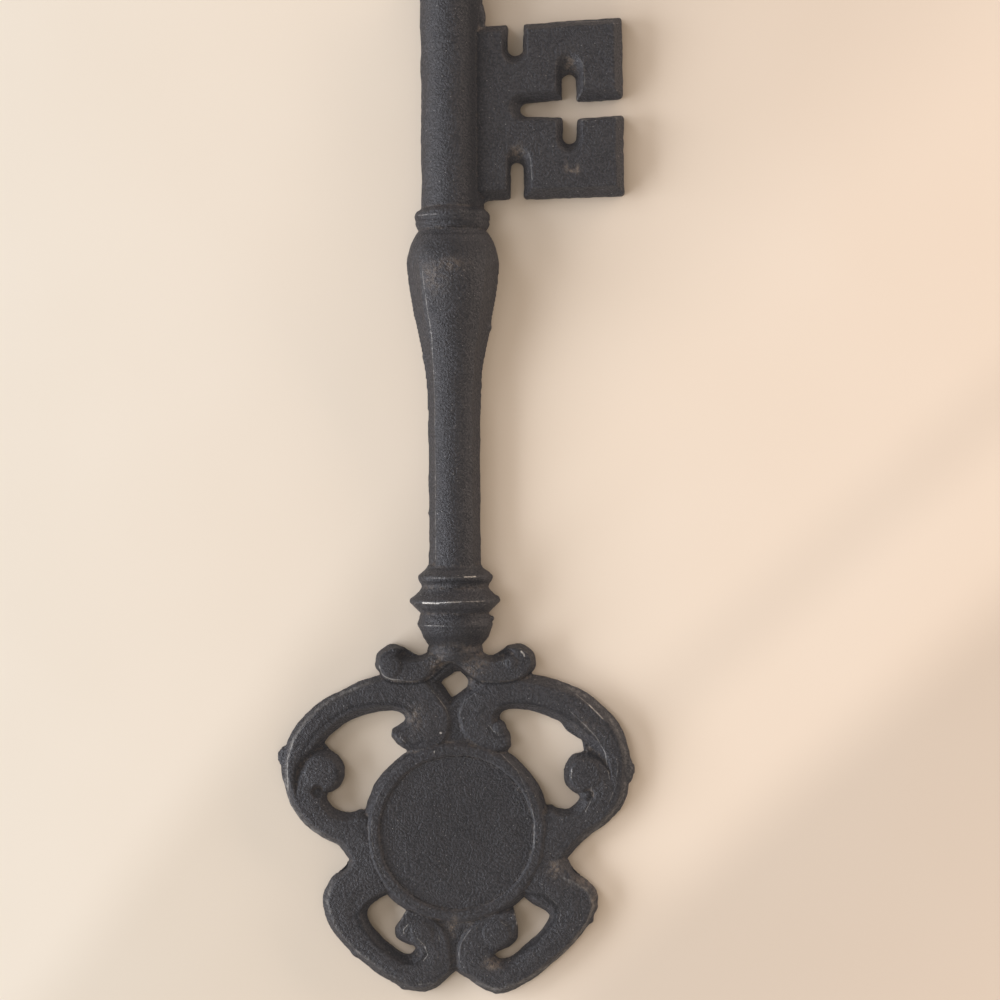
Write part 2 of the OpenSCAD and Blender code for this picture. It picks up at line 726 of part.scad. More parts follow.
// What the medallion, the crest, the diamond and the other scrolls leave of one scroll. The scroll is
// the left or the right one, and side is 1 above the side notch and -1 below it
module trimmed(left, side) {
    lean = left ? -1 : 1;
    parting = lean * bow_k * (side > 0 ? upper_parting : lower_parting);
    difference() {
        children();
        medallion_seat();
        mirror([left ? 1 : 0, 0, 0]) {
            crest_body();
            diamond_cut();
        }
        translate([parting - far, -far / 2, -1])
            cube([far, far, far]);
        rotate([0, 0, notch_angle])
            translate([rim_in, side > 0 ? -far : 0, -1])
                cube([far, far, far]);
    }
}

module upper_scroll(left) {
    angles = upper_tongues;
    difference() {
        union() {
            trimmed(left, 1) {
                union() {
                    scroll(left ? left_hook : right_hook, scroll_t, scroll_bevel + (left ? 0 : 0.6));
                    scroll(left ? left_leaf : right_leaf);
                    button(left ? left_knob : right_knob, 0, scroll_t + knob_rise, 1.9);
                    button(left ? left_curl : right_curl, scroll_edge, scroll_t + knob_rise / 2, 0.8);
                    web(left ? left_web : right_web, web_t);
                    web(head_web, middle_web_t);
                    gate_stub(left ? left_stub : right_stub);
                }
            }
            for (angle = angles)
                medal_tongue(angle, 0);
            crest_tongue(0);
        }
        throat(left ? left_throat : right_throat, 2.4);
        for (angle = angles)
            medal_hole(angle, -1, far, rivet_r + fit_gap / 2);
        crest_hole(-1, far, rivet_r + fit_gap / 2);
    }
}

module lower_scroll(left) {
    angles = lower_tongues;
    difference() {
        union() {
            trimmed(left, -1) {
                union() {
                    scroll(left ? left_lobe : right_lobe);
                    button(left ? left_lobe_knob : right_lobe_knob, scroll_edge, scroll_t + knob_rise, 1.2);
                    web(lobe_web, middle_web_t);
                }
            }
            for (angle = angles)
                medal_tongue(angle, 0);
        }
        throat(lobe_throat, 1.6);
        for (angle = angles)
            medal_hole(angle, -1, far, rivet_r + fit_gap / 2);
    }
}

module upper_left_scroll() {
    color("dimgray")
        placed()
            mirror([1, 0, 0])
                upper_scroll(true);
}

module upper_right_scroll() {
    color("dimgray")
        placed()
            upper_scroll(false);
}

module lower_left_scroll() {
    color("dimgray")
        placed()
            mirror([1, 0, 0])
                lower_scroll(true);
}

module lower_right_scroll() {
    color("dimgray")
        placed()
            lower_scroll(false);
}

module both_sides() {
    children();
    mirror([1, 0, 0])
        children();
}

// One half of the crest: an arm that ends in a volute with its eye
module volute(rows, eye) {
    scroll(rows, crest_t, crest_bevel);
    button(eye, scroll_edge, crest_t + knob_rise, 1.2);
    web(volute_fill, scroll_edge + 0.6);
}

// The crest without its bores
module crest_body() {
    mirror([1, 0, 0])
        volute(left_volute, left_eye);
    volute(right_volute, right_eye);
    half_turned([
        [0, foot_y - 6], [4, foot_y - 6], [8.4, foot_y - 5.4], [foot_r - 0.4, foot_y - 4],
        [foot_r + 0.6, foot_y - 2], [foot_r, foot_y], [0, foot_y]
    ]);
}

module crest() {
    color("dimgray")
        placed()
            difference() {
                crest_body();
                along(spigot_r + fit_gap, crest_bore_y, far);
                both_sides() {
                    crest_tongue(fit_gap);
                    crest_hole(-1, crest_t - 1, rivet_r + fit_gap / 2);
                }
                upright(rivet_r + fit_gap / 2, 0, crest_pin_y, -1, pin_top);
            }
}

module crest_rivets() {
    color("gray")
        placed()
            both_sides()
                crest_hole(0.2, crest_t - 1.1, rivet_r);
}

// Medallion

module medallion_disc() {
    color("dimgray")
        placed()
            difference() {
                rotate_extrude()
                    polygon([
                        [0, 0], [medal_r, 0], [medal_r, disc_edge], [rim_out, rim_seat], [rim_in, rim_seat],
                        [rim_in, medal_t], [0, medal_t]
                    ]);
                both_sides()
                    for (angle = concat(upper_tongues, lower_tongues)) {
                        medal_tongue(angle, fit_gap);
                        medal_hole(angle, 0, far, rivet_r + fit_gap / 2);
                    }
            }
}

module medallion_rim() {
    color("dimgray")
        placed()
            difference() {
                rotate_extrude()
                    polygon([
                        [rim_in + fit_gap, rim_seat], [rim_in + fit_gap, medal_t], [rim_in + 0.7, rim_top],
                        [rim_edge - rim_round, rim_top], [rim_edge, rim_top - rim_round], [rim_out, rim_seat]
                    ]);
                both_sides()
                    for (angle = concat(upper_tongues, lower_tongues))
                        medal_hole(angle, 0, rim_seat + rivet_bite + 0.1, rivet_r + fit_gap / 2);
            }
}

module medallion_rivets() {
    color("gray")
        placed()
            both_sides()
                for (angle = concat(upper_tongues, lower_tongues))
                    medal_hole(angle, 0.2, rim_seat + rivet_bite, rivet_r);
}

barrel();
bit();
shoulder_ring();
baluster();
upper_bead();
middle_bead();
lower_cup();
crest();
upper_left_scroll();
upper_right_scroll();
lower_left_scroll();
lower_right_scroll();
medallion_disc();
medallion_rim();
medallion_rivets();
crest_rivets();
bit_rivets();
shank_pins();
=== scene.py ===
"""Looks of a decorative skeleton key: black painted sand castings on a pale plastered wall.

Every casting is a copy of its CAD solid. The copy gets an even skin of small faces, its edges are
rounded as sand casting rounds them, and the skin gets the lumps that the sand leaves. Each point also
gets three painted values: wear, where the paint comes off high edges and painted highlights lie along
edges, dust, where dirt lies, and painted shade, which darkens the creases, the throats and the steps
between the castings.
"""

import math

import bmesh
import bpy
import numpy as np
from mathutils import Matrix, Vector
from mathutils.bvhtree import BVHTree


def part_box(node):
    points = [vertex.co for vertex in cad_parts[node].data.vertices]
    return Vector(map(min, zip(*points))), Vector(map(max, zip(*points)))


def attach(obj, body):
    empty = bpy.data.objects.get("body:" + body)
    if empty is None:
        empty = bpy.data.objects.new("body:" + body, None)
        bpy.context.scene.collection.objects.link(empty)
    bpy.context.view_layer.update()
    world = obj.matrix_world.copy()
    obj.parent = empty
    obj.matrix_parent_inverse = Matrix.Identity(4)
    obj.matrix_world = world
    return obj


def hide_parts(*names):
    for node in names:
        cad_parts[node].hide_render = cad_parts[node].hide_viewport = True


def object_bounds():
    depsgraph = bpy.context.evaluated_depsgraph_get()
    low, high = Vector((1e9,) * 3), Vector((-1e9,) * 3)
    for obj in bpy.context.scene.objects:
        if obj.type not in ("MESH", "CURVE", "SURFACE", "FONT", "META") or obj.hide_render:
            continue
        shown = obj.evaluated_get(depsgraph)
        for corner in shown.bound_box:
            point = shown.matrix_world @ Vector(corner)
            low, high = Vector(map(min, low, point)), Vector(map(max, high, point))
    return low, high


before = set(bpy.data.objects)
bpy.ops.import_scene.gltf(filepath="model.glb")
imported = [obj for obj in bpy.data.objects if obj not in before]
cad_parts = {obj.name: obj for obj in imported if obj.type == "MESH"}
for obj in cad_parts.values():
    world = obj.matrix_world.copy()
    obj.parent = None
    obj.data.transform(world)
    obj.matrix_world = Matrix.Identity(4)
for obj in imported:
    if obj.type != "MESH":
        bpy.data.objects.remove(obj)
cad_box = [list(corner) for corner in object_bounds()]

MM = 0.001
# Place of the medallion's centre along the key, and of the camera over the key, in millimetres
MEDALLION_Y = -129.9
CAMERA_X, CAMERA_Y, CAMERA_Z = 16.78, -7.9, 740
# The camera's slight turn about its own line of sight, in radians
CAMERA_TURN = -0.0068
# A 36 mm wide picture, with the lens that gives the photograph's scale at that distance
SENSOR, LENS = 36, 72

CASTINGS = [
    "barrel", "bit", "shoulder_ring", "baluster", "upper_bead", "middle_bead", "lower_cup", "crest",
    "upper_left_scroll", "upper_right_scroll", "lower_left_scroll", "lower_right_scroll",
    "medallion_disc", "medallion_rim",
]
PINS = ["medallion_rivets", "crest_rivets", "bit_rivets", "shank_pins"]

# Settings that many nodes share
SOFT_STEP = {"interpolation_type": "SMOOTHSTEP"}
COLOURS = {"data_type": "RGBA"}
DARKENED = {"data_type": "RGBA", "blend_type": "MULTIPLY"}
TIMES = {"operation": "MULTIPLY"}


# Colours and nodes

def linear(hex_colour):
    """The linear colour of an sRGB hex value."""
    channels = [int(hex_colour[i:i + 2], 16) / 255 for i in (0, 2, 4)]
    return [c / 12.92 if c <= 0.04045 else ((c + 0.055) / 1.055) ** 2.4 for c in channels] + [1.0]


def cells(size):
    """The scale of a pattern whose cells are that many millimetres wide."""
    return 1 / (size * MM)


def add(tree, kind, settings=None, **inputs):
    """A new node with its settings, and for each named input a value or the output that feeds it.
    An input is named with underscores for spaces, or with one underscore and its number."""
    made = tree.nodes.new(kind)
    for name, value in (settings or {}).items():
        setattr(made, name, value)
    for name, value in inputs.items():
        key = int(name[1:]) if name[0] == "_" else name.replace("_", " ")
        socket = made.inputs[key]
        if isinstance(value, bpy.types.NodeSocket):
            tree.links.new(value, socket)
        else:
            socket.default_value = value
    return made


def new_material(name):
    """An empty material, with its node tree and the place on the piece that its patterns read."""
    made = bpy.data.materials.new(name)
    made.use_nodes = True
    tree = made.node_tree
    tree.nodes.clear()
    return made, tree, add(tree, "ShaderNodeTexCoord").outputs["Object"]


def black_painted_iron():
    """Matte black stove paint brushed over sand-cast grey iron. The sand leaves a skin of grains, drawn
    0.8 mm wide because finer ones wouldn't show. Rubbed edges show the metal under the paint, and painted
    highlights along edges are drawn as the same metal. Brown dust lies in the hollows, and painted shade
    darkens the creases, the throats and the steps between the castings. The faint painted glow stands for
    the haze of a phone's lens, which lifts the blacks of a dark thing on a bright wall."""
    material, tree, place = new_material("black_painted_cast_iron")
    wear_and_highlight = add(tree, "ShaderNodeAttribute", {"attribute_name": "wear_and_highlight"}).outputs["Fac"]
    dust = add(tree, "ShaderNodeAttribute", {"attribute_name": "dust"}).outputs["Fac"]
    painted_shade = add(tree, "ShaderNodeAttribute", {"attribute_name": "painted_shade"}).outputs["Fac"]
    clouds = add(tree, "ShaderNodeTexNoise", Vector=place, Scale=cells(9.091), Detail=3.0).outputs["Fac"]
    grains = add(
        tree, "ShaderNodeTexNoise", Vector=place, Scale=cells(0.8), Detail=2.0, Roughness=0.65
    ).outputs["Fac"]
    flecks = add(
        tree, "ShaderNodeTexVoronoi", Vector=place, Scale=cells(2.381), Randomness=1.0
    ).outputs["Distance"]
    patches = add(
        tree, "ShaderNodeTexNoise", Vector=place, Scale=cells(1.923), Detail=4.0, Roughness=0.7
    ).outputs["Fac"]

    # Two blacks in wide clouds, each broken up by the grains
    cloudy = add(tree, "ShaderNodeMapRange", SOFT_STEP, Value=clouds, From_Min=0.35, From_Max=0.65)
    grainy = add(tree, "ShaderNodeMapRange", SOFT_STEP, Value=grains, From_Min=0.38, From_Max=0.64)
    black = add(
        tree, "ShaderNodeMix", COLOURS, _0=cloudy.outputs[0], _6=linear("0f0e10"), _7=linear("181718")
    ).outputs[2]
    speckled = add(
        tree, "ShaderNodeMix", COLOURS, _0=grainy.outputs[0], _6=black, _7=linear("2f2d2e")
    ).outputs[2]
    # Single pale grains, a few to each square centimetre
    fleck = add(
        tree, "ShaderNodeMapRange", SOFT_STEP, Value=flecks, From_Min=0.105, From_Max=0.03, To_Max=0.7
    ).outputs[0]
    flecked = add(tree, "ShaderNodeMix", COLOURS, _0=fleck, _6=speckled, _7=linear("8f8a84")).outputs[2]
    # Dust lies in patches
    patchy = add(
        tree, "ShaderNodeMapRange", SOFT_STEP, Value=patches, From_Min=0.38, From_Max=0.62
    ).outputs[0]
    dirt = add(tree, "ShaderNodeMath", TIMES, _0=dust, _1=patchy).outputs[0]
    dusty = add(tree, "ShaderNodeMix", COLOURS, _0=dirt, _6=flecked, _7=linear("77695a")).outputs[2]
    # Paint comes off in flakes: first where the wear is strong. The same metal draws the painted highlights
    # along edges
    rubbed_and_highlit = add(
        tree, "ShaderNodeMath", {"operation": "MULTIPLY_ADD"}, _0=patches, _1=0.7, _2=wear_and_highlight
    ).outputs[0]
    bare_and_highlit = add(
        tree, "ShaderNodeMapRange", SOFT_STEP, Value=rubbed_and_highlit, From_Min=0.55, From_Max=1.35
    ).outputs[0]
    worn_and_highlit = add(tree, "ShaderNodeMix", COLOURS, _0=bare_and_highlit, _6=dusty, _7=linear("b0aba3")).outputs[2]
    # Painted shade darkens the creases, the throats and the steps between the castings, and takes their
    # shine
    colour = add(tree, "ShaderNodeMix", COLOURS, _0=painted_shade, _6=worn_and_highlit, _7=linear("040405")).outputs[2]
    shine = add(tree, "ShaderNodeMapRange", Value=painted_shade, To_Min=0.24, To_Max=0.04).outputs[0]
    # Seen along the surface, the grains hide their own shine
    slant = add(tree, "ShaderNodeLayerWeight", Blend=0.5).outputs["Facing"]
    hidden = add(
        tree, "ShaderNodeMapRange", SOFT_STEP, Value=slant, From_Min=0.25, From_Max=0.8, To_Min=1.0,
        To_Max=0.3
    ).outputs[0]
    gloss = add(tree, "ShaderNodeMath", TIMES, _0=shine, _1=hidden).outputs[0]

    roughness = add(tree, "ShaderNodeMapRange", Value=clouds, To_Min=0.38, To_Max=0.48).outputs[0]
    metal = add(tree, "ShaderNodeMath", TIMES, _0=bare_and_highlit, _1=0.6).outputs[0]
    # Relief of the grains, and a finer one of the brushed paint
    fine = add(tree, "ShaderNodeTexNoise", Vector=place, Scale=cells(0.3846), Detail=1.0).outputs["Fac"]
    rough_bump = add(tree, "ShaderNodeBump", Strength=1.0, Distance=0.65 * MM, Height=grains)
    fine_bump = add(
        tree, "ShaderNodeBump", Strength=0.3, Distance=0.08 * MM, Height=fine,
        Normal=rough_bump.outputs[0]
    )
    shader = add(
        tree, "ShaderNodeBsdfPrincipled", Base_Color=colour, Roughness=roughness, Metallic=metal,
        Normal=fine_bump.outputs[0], Specular_IOR_Level=gloss, Sheen_Weight=0.05, Sheen_Roughness=0.45,
        Sheen_Tint=linear("d8d2cc"), Emission_Color=linear("e8e2e6"), Emission_Strength=0.021
    )
    add(tree, "ShaderNodeOutputMaterial", Surface=shader.outputs[0])
    return material


def turned_steel():
    """Turned mild steel, unpainted: a satin metal with rings from the lathe tool. They are drawn 0.6 mm
    apart because finer ones wouldn't show."""
    material, tree, place = new_material("turned_mild_steel")
    # A wave pattern has ten bands in pi cells
    rings = add(
        tree, "ShaderNodeTexWave", {"bands_direction": "Z"}, Vector=place,
        Scale=cells(0.604) * math.pi / 10, Distortion=0.6, Detail=1.0
    ).outputs["Fac"]
    stains = add(tree, "ShaderNodeTexNoise", Vector=place, Scale=cells(1.429), Detail=3.0).outputs["Fac"]
    colour = add(
        tree, "ShaderNodeMix", COLOURS, _0=stains, _6=linear("8d8c8a"), _7=linear("6d6a66")
    ).outputs[2]
    roughness = add(tree, "ShaderNodeMapRange", Value=stains, To_Min=0.3, To_Max=0.5).outputs[0]
    bump = add(tree, "ShaderNodeBump", Strength=0.25, Distance=0.03 * MM, Height=rings)
    shader = add(
        tree, "ShaderNodeBsdfPrincipled", Base_Color=colour, Metallic=1.0, Roughness=roughness,
        Normal=bump.outputs[0]
    )
    add(tree, "ShaderNodeOutputMaterial", Surface=shader.outputs[0])
    return material


# Bars of shade on the wall: the direction that crosses them, how far their ramp reaches, from black to
# white, and the brightness at distances between its ends, in metres from the frame's origin
BAR_SLOPE = (0.655, -0.755, 0)
BARS_FROM, BARS_TO = -0.3, 0.5
BARS = [(-0.045, 0.9), (0.035, 1), (0.09, 1), (0.112, 0.93), (0.134, 1), (0.15, 1), (0.185, 0.81)]
# Direction that crosses the edge of the wide shade under the bow
SHADE_SLOPE = (0.79, -0.61, 0)


def wall_paint():
    """Cream emulsion rolled on plaster: a soft orange-peel of about 1.5 mm and wide faint clouds. The right
    side has the warm tone of evening light, crossed by soft bars of shade from a window's frame."""
    material, tree, place = new_material("cream_wall_emulsion")
    peel = add(tree, "ShaderNodeTexNoise", Vector=place, Scale=cells(1.538), Detail=2.0).outputs["Fac"]
    clouds = add(tree, "ShaderNodeTexNoise", Vector=place, Scale=cells(111.1), Detail=2.0).outputs["Fac"]
    across = add(tree, "ShaderNodeSeparateXYZ", Vector=place).outputs["X"]
    warmth = add(tree, "ShaderNodeMapRange", Value=across, From_Min=-0.17, From_Max=0.2).outputs[0]
    tone = add(
        tree, "ShaderNodeMix", COLOURS, _0=warmth, _6=linear("dad0bf"), _7=linear("ebd7c0")
    ).outputs[2]
    cloudy = add(
        tree, "ShaderNodeMix", {"data_type": "RGBA", "blend_type": "SOFT_LIGHT"}, _0=0.12, _6=tone,
        _7=clouds
    ).outputs[2]
    # The bars run down to the left, on the wall's right side only
    distance = add(
        tree, "ShaderNodeVectorMath", {"operation": "DOT_PRODUCT"}, _0=place, _1=BAR_SLOPE
    ).outputs["Value"]
    along = add(
        tree, "ShaderNodeMapRange", Value=distance, From_Min=BARS_FROM, From_Max=BARS_TO
    ).outputs[0]
    bars = add(tree, "ShaderNodeValToRGB", Fac=along)
    ramp = bars.color_ramp
    ramp.interpolation = "EASE"
    for away, bright in BARS:
        stop = ramp.elements.new((away - BARS_FROM) / (BARS_TO - BARS_FROM))
        stop.color = (bright, bright, bright, 1)
    rightwards = add(
        tree, "ShaderNodeMapRange", SOFT_STEP, Value=across, From_Min=-0.03, From_Max=0.05
    ).outputs[0]
    barred = add(
        tree, "ShaderNodeMix", DARKENED, _0=rightwards, _6=cloudy, _7=bars.outputs[0]
    ).outputs[2]
    # A wide faint shade under the bow on the left
    low = add(
        tree, "ShaderNodeVectorMath", {"operation": "DOT_PRODUCT"}, _0=place, _1=SHADE_SLOPE
    ).outputs["Value"]
    inside = add(
        tree, "ShaderNodeMapRange", SOFT_STEP, Value=low, From_Min=-0.02, From_Max=0.01
    ).outputs[0]
    leftwards = add(
        tree, "ShaderNodeMapRange", SOFT_STEP, Value=across, From_Min=0.03, From_Max=-0.03
    ).outputs[0]
    covered = add(tree, "ShaderNodeMath", TIMES, _0=inside, _1=leftwards).outputs[0]
    darker = add(tree, "ShaderNodeMath", TIMES, _0=covered, _1=0.6).outputs[0]
    colour = add(tree, "ShaderNodeMix", DARKENED, _0=darker, _6=barred, _7=linear("e9e7e4")).outputs[2]
    bump = add(tree, "ShaderNodeBump", Strength=0.08, Distance=0.2 * MM, Height=peel)
    shader = add(
        tree, "ShaderNodeBsdfPrincipled", Base_Color=colour, Roughness=0.85, Normal=bump.outputs[0]
    )
    add(tree, "ShaderNodeOutputMaterial", Surface=shader.outputs[0])
    return material


# Sand-cast skins. All lengths are in millimetres

# Size of the skin's faces, larger on the big pieces, which stay under 200,000 triangles
SKIN = 0.3
LARGER_SKIN = {"baluster": 0.34, "bit": 0.312, "medallion_disc": 0.312}
# How far the skin is swollen so that neighbours close their seams
SWELL = 0.16
# How much the arrises and the valleys are drawn out again after the swelling, against a skin that is
# smoothed this many times
CRISP, CRISP_STEPS = 0.7, 3
# Lumps of the skin: wavelength and height. Sides and bevels are filed by hand, so theirs are higher, on
# upright sides by this share
LUMPS = [(7.0, 0.18), (2.6, 0.07), (1.1, 0.04)]
SIDE_LUMPS = 1.3
# The arris between the shank's round face and its flat flank: angle up from the wall, and where the
# flank ends on the bulb, from the medallion's centre
FLANK_TURN = math.radians(46)
FLANK_TOP, FLANK_FADE = 214, 9
# A point of a piece joins the whole casting's skin if it lies this near and faces the same way
NEAR = 0.9
SAME_WAY = 0.35
# How far a casting's drops and lumps may stand out of its CAD box
PROUD = 1.5
# Smoothing steps that give the near and the wide surroundings of a point
NEAR_STEPS, WIDE_STEPS = 12, 90
# Wear on what stands over its near surroundings, dust on what lies under its wide ones, and painted shade
# on what lies under its near ones: from which height, over which further height they grow, and to what
WEAR = (0.06, 0.14, 0.5)
DUST = (0.15, 0.5, 0.6)
CREASE_SHADE = (0.06, 0.2, 0.5)
# Listed marks lie only on what is higher over the wall than this
MARKED_OVER = 1
# Degrees between the corners of a line along an arc
ARC_STEP = 4


def lattice_noise(points, size, seed):
    """Smooth noise from -1 to 1 on a cubic lattice of that size. Each seed reads another part of it."""
    p = points / size + seed * 17.3
    cell = np.floor(p).astype(np.int64)
    t = p - cell
    t = t * t * (3 - 2 * t)
    total = np.zeros(len(points))
    for corner in range(8):
        dx, dy, dz = corner & 1, corner >> 1 & 1, corner >> 2
        # Large odd factors mix the cell's numbers into one that looks random
        key = (cell[:, 0] + dx) * 73856093 ^ (cell[:, 1] + dy) * 19349663 ^ (cell[:, 2] + dz) * 83492791
        key = (key ^ (key >> 13)) * 1274126177 & 0x7FFFFFFF
        value = (key ^ (key >> 16)) % 65536 / 32767.5 - 1
        weight = (
            np.where(dx, t[:, 0], 1 - t[:, 0])
            * np.where(dy, t[:, 1], 1 - t[:, 1])
            * np.where(dz, t[:, 2], 1 - t[:, 2])
        )
        total += value * weight
    return total


def even_skin(mesh, size):
    """A mesh with faces of one small size over a closed mesh, which it uses up."""
    copy = bpy.data.objects.new("copy", mesh)
    bpy.context.collection.objects.link(copy)
    remesh = copy.modifiers.new("skin", "REMESH")
    remesh.mode = "VOXEL"
    remesh.voxel_size = size * MM
    remesh.adaptivity = 0
    done = bpy.data.meshes.new_from_object(copy.evaluated_get(bpy.context.evaluated_depsgraph_get()))
    bpy.data.objects.remove(copy)
    bpy.data.meshes.remove(mesh)
    return done


def merged_copy(node):
    """A copy of a CAD node's mesh with its doubled points merged and its drops of iron added."""
    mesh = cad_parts[node].data.copy()
    shell = bmesh.new()
    shell.from_mesh(mesh)
    bmesh.ops.remove_doubles(shell, verts=shell.verts, dist=0.001 * MM)
    for on_node, (x, y, z), halves in DROPS:
        if on_node == node:
            place = Matrix.Translation((x * MM, (y + MEDALLION_Y) * MM, z * MM))
            stretch = Matrix.Diagonal((*(half * MM for half in halves), 1))
            bmesh.ops.create_icosphere(shell, subdivisions=3, radius=1, matrix=place @ stretch)
    shell.to_mesh(mesh)
    shell.free()
    return mesh


class Skin:
    """The points of a mesh in millimetres, with what is needed to smooth and push them."""

    def __init__(self, mesh):
        self.mesh = mesh
        self.points = np.empty(len(mesh.vertices) * 3)
        mesh.vertices.foreach_get("co", self.points)
        self.points = self.points.reshape(-1, 3) / MM
        edges = np.empty(len(mesh.edges) * 2, dtype=np.int64)
        mesh.edges.foreach_get("vertices", edges)
        self.edges = edges.reshape(-1, 2)
        self.degree = np.maximum(np.bincount(edges, minlength=len(self.points)), 1)[:, None]

    def averaged(self, values):
        """Each point's value replaced by the mean of its neighbours'."""
        a, b = self.edges[:, 0], self.edges[:, 1]
        sums = np.stack([
            np.bincount(a, values[b, i], len(values)) + np.bincount(b, values[a, i], len(values))
            for i in range(values.shape[1])
        ], axis=1)
        return sums / self.degree

    def smoothed(self, values, steps):
        """The values, drawn halfway to their neighbours' mean so many times."""
        for _ in range(steps):
            values = (values + self.averaged(values)) / 2
        return values

    def proud(self, steps, normals):
        """How far each point stands over its surroundings, which are as wide as the steps make them."""
        return ((self.points - self.smoothed(self.points, steps)) * normals).sum(axis=1)

    def write(self):
        """Puts the points back into the mesh."""
        self.mesh.vertices.foreach_set("co", (self.points * MM).ravel())
        self.mesh.update()

    def normals(self):
        """The normals of the points where they are now."""
        self.write()
        out = np.empty(len(self.points) * 3)
        self.mesh.vertex_normals.foreach_get("vector", out)
        return out.reshape(-1, 3)

    def polygons(self):
        """The faces, which all have four corners, as rows of point numbers."""
        corners = np.empty(len(self.mesh.polygons) * 4, dtype=np.int64)
        self.mesh.polygons.foreach_get("vertices", corners)
        return corners.reshape(-1, 4)


